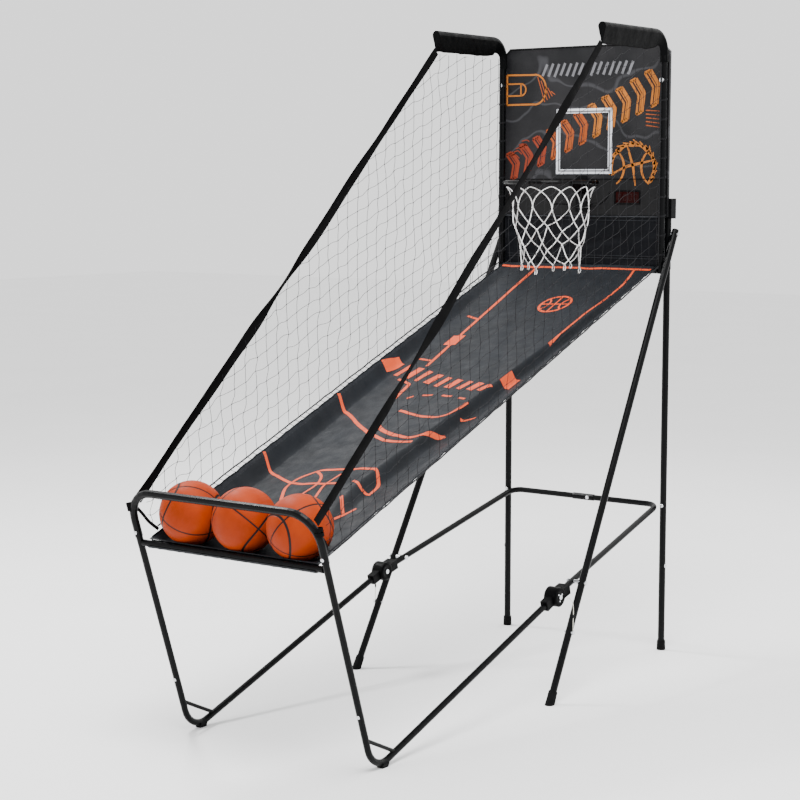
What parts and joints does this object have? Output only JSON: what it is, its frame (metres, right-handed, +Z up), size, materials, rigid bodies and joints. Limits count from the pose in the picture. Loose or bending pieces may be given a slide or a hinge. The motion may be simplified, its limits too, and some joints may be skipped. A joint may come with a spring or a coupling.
{
  "type": "folding arcade basketball game",
  "caption": "Folding tube-frame basketball game: fabric ramp, side nets, backboard with scorer, hoop and balls that roll back to the player.",
  "frame": {"origin": "on the floor, in the middle of the game's footprint", "axes": "+X across to the player's right, +Y from the player to the backboard, +Z up"},
  "size_m": [0.757, 1.9003, 2.0415],
  "materials": {
    "black_steel": "semi-gloss black powder coat",
    "rubber": "matt black rubber",
    "black_plastic": "moulded black, fine grain",
    "chrome": "bright plated steel",
    "board": "dark printed board",
    "red_window": "dark red display filter",
    "circuit": "green laminate",
    "fabric": "dark woven polyester with a soft sheen",
    "net_cord": "dark knotted cord",
    "hoop_cord": "white braided cord",
    "clear_cord": "pale plastic cord",
    "ball_orange": "orange pebbled rubber"
  },
  "bodies": {
    "rear_frame": {"arm_sleeve_left": "fabric", "arm_sleeve_right": "fabric", "backboard": "board", "board_bolt_left": "chrome", "board_bolt_right": "chrome", "circuit_board": "circuit", "court_mat": "fabric", "cross_bolt_left": "chrome", "cross_bolt_right": "chrome", "diagonal_foot_cap_left": "rubber", "diagonal_foot_cap_right": "rubber", "diagonal_leg_left": "black_steel", "diagonal_leg_right": "black_steel", "display_window": "red_window", "hoop_bracket": "black_steel", "hoop_net": "hoop_cord", "hoop_ring": "black_steel", "knuckle_fork_left": "black_plastic", "knuckle_fork_right": "black_plastic", "knuckle_pin_left": "chrome", "knuckle_pin_right": "chrome", "lanyard_left": "clear_cord", "lanyard_right": "clear_cord", "leg_clamp_left": "black_plastic", "leg_clamp_right": "black_plastic", "mat_rear_bar": "black_steel", "rear_bar_sleeve": "black_steel", "rear_foot_cap_left": "rubber", "rear_foot_cap_right": "rubber", "rear_leg_left": "black_steel", "rear_leg_right": "black_steel", "rear_leg_top_left": "black_steel", "rear_leg_top_right": "black_steel", "rear_panel": "fabric", "rear_side_bar_left": "black_steel", "rear_side_bar_right": "black_steel", "scorer_housing": "black_plastic", "side_net_left": "net_cord", "side_net_right": "net_cord", "speaker": "black_plastic", "top_bolt_left": "chrome", "top_bolt_right": "chrome", "upright_arm_left": "black_steel", "upright_arm_right": "black_steel"},
    "front_frame": {"front_rail": "black_steel", "front_crossbar": "black_steel", "front_leg_left": "black_steel", "front_leg_right": "black_steel", "knuckle_tongue_left": "black_plastic", "knuckle_tongue_right": "black_plastic", "floor_pad_left": "rubber", "floor_pad_right": "rubber"},
    "ball_left_body": {"ball_left": "ball_orange"},
    "ball_middle_body": {"ball_middle": "ball_orange"},
    "ball_right_body": {"ball_right": "ball_orange"},
    "lock_pin_left_body": {"lock_pin_left": "chrome"},
    "lock_pin_right_body": {"lock_pin_right": "chrome"},
    "score_lever_body": {"score_lever": "black_steel"},
    "start_button_body": {"start_button": "rubber"},
    "battery_cover_body": {"battery_cover": "black_plastic"}
  },
  "joints": [
    {"name": "frame_fold", "type": "hinge", "parent": "rear_frame", "child": "front_frame", "pos_m": [0, 0.21725, 0.31], "axis": [-1, 0, 0], "range_deg": [0, 70], "deforming": ["court_mat", "side_net_left", "side_net_right"]},
    {"name": "ball_left_lift", "type": "slide", "parent": "front_frame", "child": "ball_left_body", "axis": [0, 0.6, 0.8], "range_m": [0, 0.2]},
    {"name": "ball_middle_lift", "type": "slide", "parent": "front_frame", "child": "ball_middle_body", "axis": [0, 0.6, 0.8], "range_m": [0, 0.2]},
    {"name": "ball_right_lift", "type": "slide", "parent": "front_frame", "child": "ball_right_body", "axis": [0, 0.6, 0.8], "range_m": [0, 0.2]},
    {"name": "lock_pin_left_pull", "type": "slide", "parent": "rear_frame", "child": "lock_pin_left_body", "axis": [-1, 0, 0], "range_m": [0, 0.03], "deforming": ["lanyard_left"]},
    {"name": "lock_pin_right_pull", "type": "slide", "parent": "rear_frame", "child": "lock_pin_right_body", "axis": [1, 0, 0], "range_m": [0, 0.03], "deforming": ["lanyard_right"]},
    {"name": "score_lever_press", "type": "hinge", "parent": "rear_frame", "child": "score_lever_body", "pos_m": [0, 0.89275, 1.47], "axis": [1, 0, 0], "range_deg": [0, 12], "stiffness_Nm_per_rad": 0.05},
    {"name": "start_button_press", "type": "slide", "parent": "rear_frame", "child": "start_button_body", "axis": [0, -1, 0], "range_m": [0, 0.0015], "stiffness_N_per_m": 300},
    {"name": "battery_cover_pull", "type": "slide", "parent": "rear_frame", "child": "battery_cover_body", "axis": [0, 1, 0], "range_m": [0, 0.03]}
  ]
}
